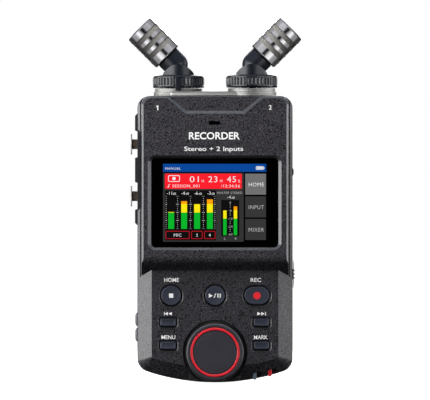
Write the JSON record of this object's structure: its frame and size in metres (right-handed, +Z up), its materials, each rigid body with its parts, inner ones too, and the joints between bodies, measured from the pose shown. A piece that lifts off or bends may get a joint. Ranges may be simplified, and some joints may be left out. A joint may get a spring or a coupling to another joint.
{
  "type": "portable field recorder",
  "caption": "Handheld audio field recorder with swivelling stereo microphones, side XLR inputs, a touch display, front keys and a large control dial.",
  "frame": {"origin": "mouth of the tripod thread, on the flat back of the rear case", "axes": "+Z up along the body towards the microphones, the display faces -Y, +X is the right-hand side seen from the front"},
  "size_m": [0.081, 0.0375, 0.1709],
  "materials": {
    "body_paint": "dark grey paint with fine black and light specks, satin",
    "black_plastic": "moulded black, satin",
    "key_plastic": "bluish grey, smooth satin",
    "display_glass": "black-backed touch glass, polished",
    "silver_trim": "turned and brushed satin",
    "chrome": "mirror polished",
    "mesh_metal": "fine woven wire",
    "steel": "plated, satin",
    "brass": "machined",
    "red_plastic": "glossy red",
    "blue_grey_plastic": "satin",
    "rubber": "matt",
    "circuit_board": "green solder mask",
    "cell_wrap": "printed sleeve, glossy"
  },
  "bodies": {
    "root": {"aa_cell_1": "cell_wrap", "aa_cell_2": "cell_wrap", "aa_cell_3": "cell_wrap", "aa_cell_4": "cell_wrap", "battery_tray": "black_plastic", "card_slot": "steel", "case_screw_1": "steel", "case_screw_2": "steel", "case_screw_3": "steel", "case_screw_4": "steel", "dial_encoder": "steel", "display_glass": "display_glass", "display_panel": "body_paint", "front_case": "body_paint", "keypad_membrane": "rubber", "lcd_module": "steel", "main_board": "circuit_board", "mic_base_left": "silver_trim", "mic_base_right": "silver_trim", "phones_jack": "black_plastic", "rear_case": "body_paint", "speaker": "steel", "tally_lens": "display_glass", "top_plate": "silver_trim", "tripod_insert": "brass", "usb_socket": "steel", "xlr_housing": "black_plastic", "xlr_socket_1": "black_plastic", "xlr_socket_2": "black_plastic"},
    "mic_left": {"mic_ring_left": "black_plastic", "mic_shaft_left": "steel", "mic_arm_left": "black_plastic", "mic_cage_left": "chrome", "mic_mesh_left": "mesh_metal", "mic_element_left": "steel"},
    "mic_right": {"mic_ring_right": "black_plastic", "mic_shaft_right": "steel", "mic_arm_right": "black_plastic", "mic_cage_right": "chrome", "mic_mesh_right": "mesh_metal", "mic_element_right": "steel"},
    "dial": {"dial": "black_plastic", "dial_ring": "red_plastic"},
    "stop_button": {"stop_button": "key_plastic"},
    "play_button": {"play_button": "key_plastic"},
    "record_button": {"record_button": "key_plastic"},
    "rewind_button": {"rewind_button": "key_plastic"},
    "forward_button": {"forward_button": "key_plastic"},
    "menu_button": {"menu_button": "key_plastic"},
    "mark_button": {"mark_button": "key_plastic"},
    "volume_up_key": {"volume_up_key": "key_plastic"},
    "volume_down_key": {"volume_down_key": "key_plastic"},
    "power_slider": {"power_slider": "black_plastic"},
    "low_cut_switch": {"low_cut_switch": "blue_grey_plastic"},
    "pad_switch": {"pad_switch": "red_plastic"},
    "xlr_latch_1": {"xlr_latch_1": "steel"},
    "xlr_latch_2": {"xlr_latch_2": "steel"},
    "port_door": {"port_door": "rubber"},
    "battery_cover": {"battery_cover": "body_paint"},
    "battery_latch": {"battery_latch": "black_plastic"}
  },
  "joints": [
    {"name": "mic_left_swivel", "type": "hinge", "parent": "root", "child": "mic_left", "pos_m": [-0.01715, -0.0125, 0.047], "axis": [0, 0, -1], "range_deg": [0, 180]},
    {"name": "mic_right_swivel", "type": "hinge", "parent": "root", "child": "mic_right", "pos_m": [0.01715, -0.0235, 0.047], "axis": [0, 0, -1], "range_deg": [0, 180]},
    {"name": "dial_turn", "type": "hinge", "parent": "root", "child": "dial", "pos_m": [0, -0.034, -0.07985], "axis": [0, -1, 0], "continuous": true},
    {"name": "stop_button_press", "type": "slide", "parent": "root", "child": "stop_button", "axis": [0, 1, 0], "range_m": [0, 0.0006], "stiffness_N_per_m": 1500},
    {"name": "play_button_press", "type": "slide", "parent": "root", "child": "play_button", "axis": [0, 1, 0], "range_m": [0, 0.0006], "stiffness_N_per_m": 1500},
    {"name": "record_button_press", "type": "slide", "parent": "root", "child": "record_button", "axis": [0, 1, 0], "range_m": [0, 0.0006], "stiffness_N_per_m": 1500},
    {"name": "rewind_button_press", "type": "slide", "parent": "root", "child": "rewind_button", "axis": [0, 1, 0], "range_m": [0, 0.0006], "stiffness_N_per_m": 1500},
    {"name": "forward_button_press", "type": "slide", "parent": "root", "child": "forward_button", "axis": [0, 1, 0], "range_m": [0, 0.0006], "stiffness_N_per_m": 1500},
    {"name": "menu_button_press", "type": "slide", "parent": "root", "child": "menu_button", "axis": [0, 1, 0], "range_m": [0, 0.0006], "stiffness_N_per_m": 1500},
    {"name": "mark_button_press", "type": "slide", "parent": "root", "child": "mark_button", "axis": [0, 1, 0], "range_m": [0, 0.0006], "stiffness_N_per_m": 1500},
    {"name": "volume_up_key_press", "type": "slide", "parent": "root", "child": "volume_up_key", "axis": [1, 0, 0], "range_m": [0, 0.0005], "stiffness_N_per_m": 1500},
    {"name": "volume_down_key_press", "type": "slide", "parent": "root", "child": "volume_down_key", "axis": [1, 0, 0], "range_m": [0, 0.0005], "stiffness_N_per_m": 1500},
    {"name": "power_slider_slide", "type": "slide", "parent": "root", "child": "power_slider", "axis": [0, 0, 1], "range_m": [-0.002, 0.002]},
    {"name": "low_cut_switch_slide", "type": "slide", "parent": "root", "child": "low_cut_switch", "axis": [1, 0, 0], "range_m": [0, 0.002]},
    {"name": "pad_switch_slide", "type": "slide", "parent": "root", "child": "pad_switch", "axis": [1, 0, 0], "range_m": [0, 0.002]},
    {"name": "xlr_latch_1_press", "type": "slide", "parent": "root", "child": "xlr_latch_1", "axis": [1, 0, 0], "range_m": [0, 0.0015], "stiffness_N_per_m": 1200},
    {"name": "xlr_latch_2_press", "type": "slide", "parent": "root", "child": "xlr_latch_2", "axis": [1, 0, 0], "range_m": [0, 0.0015], "stiffness_N_per_m": 1200},
    {"name": "port_door_open", "type": "hinge", "parent": "root", "child": "port_door", "pos_m": [0.0351, -0.0115, -0.0184], "axis": [0, 1, 0], "range_deg": [0, 95]},
    {"name": "battery_cover_lift", "type": "slide", "parent": "root", "child": "battery_cover", "axis": [0, 1, 0], "range_m": [0, 0.02]},
    {"name": "battery_latch_slide", "type": "slide", "parent": "battery_cover", "child": "battery_latch", "axis": [0, 0, -1], "range_m": [0, 0.0015], "stiffness_N_per_m": 600}
  ]
}
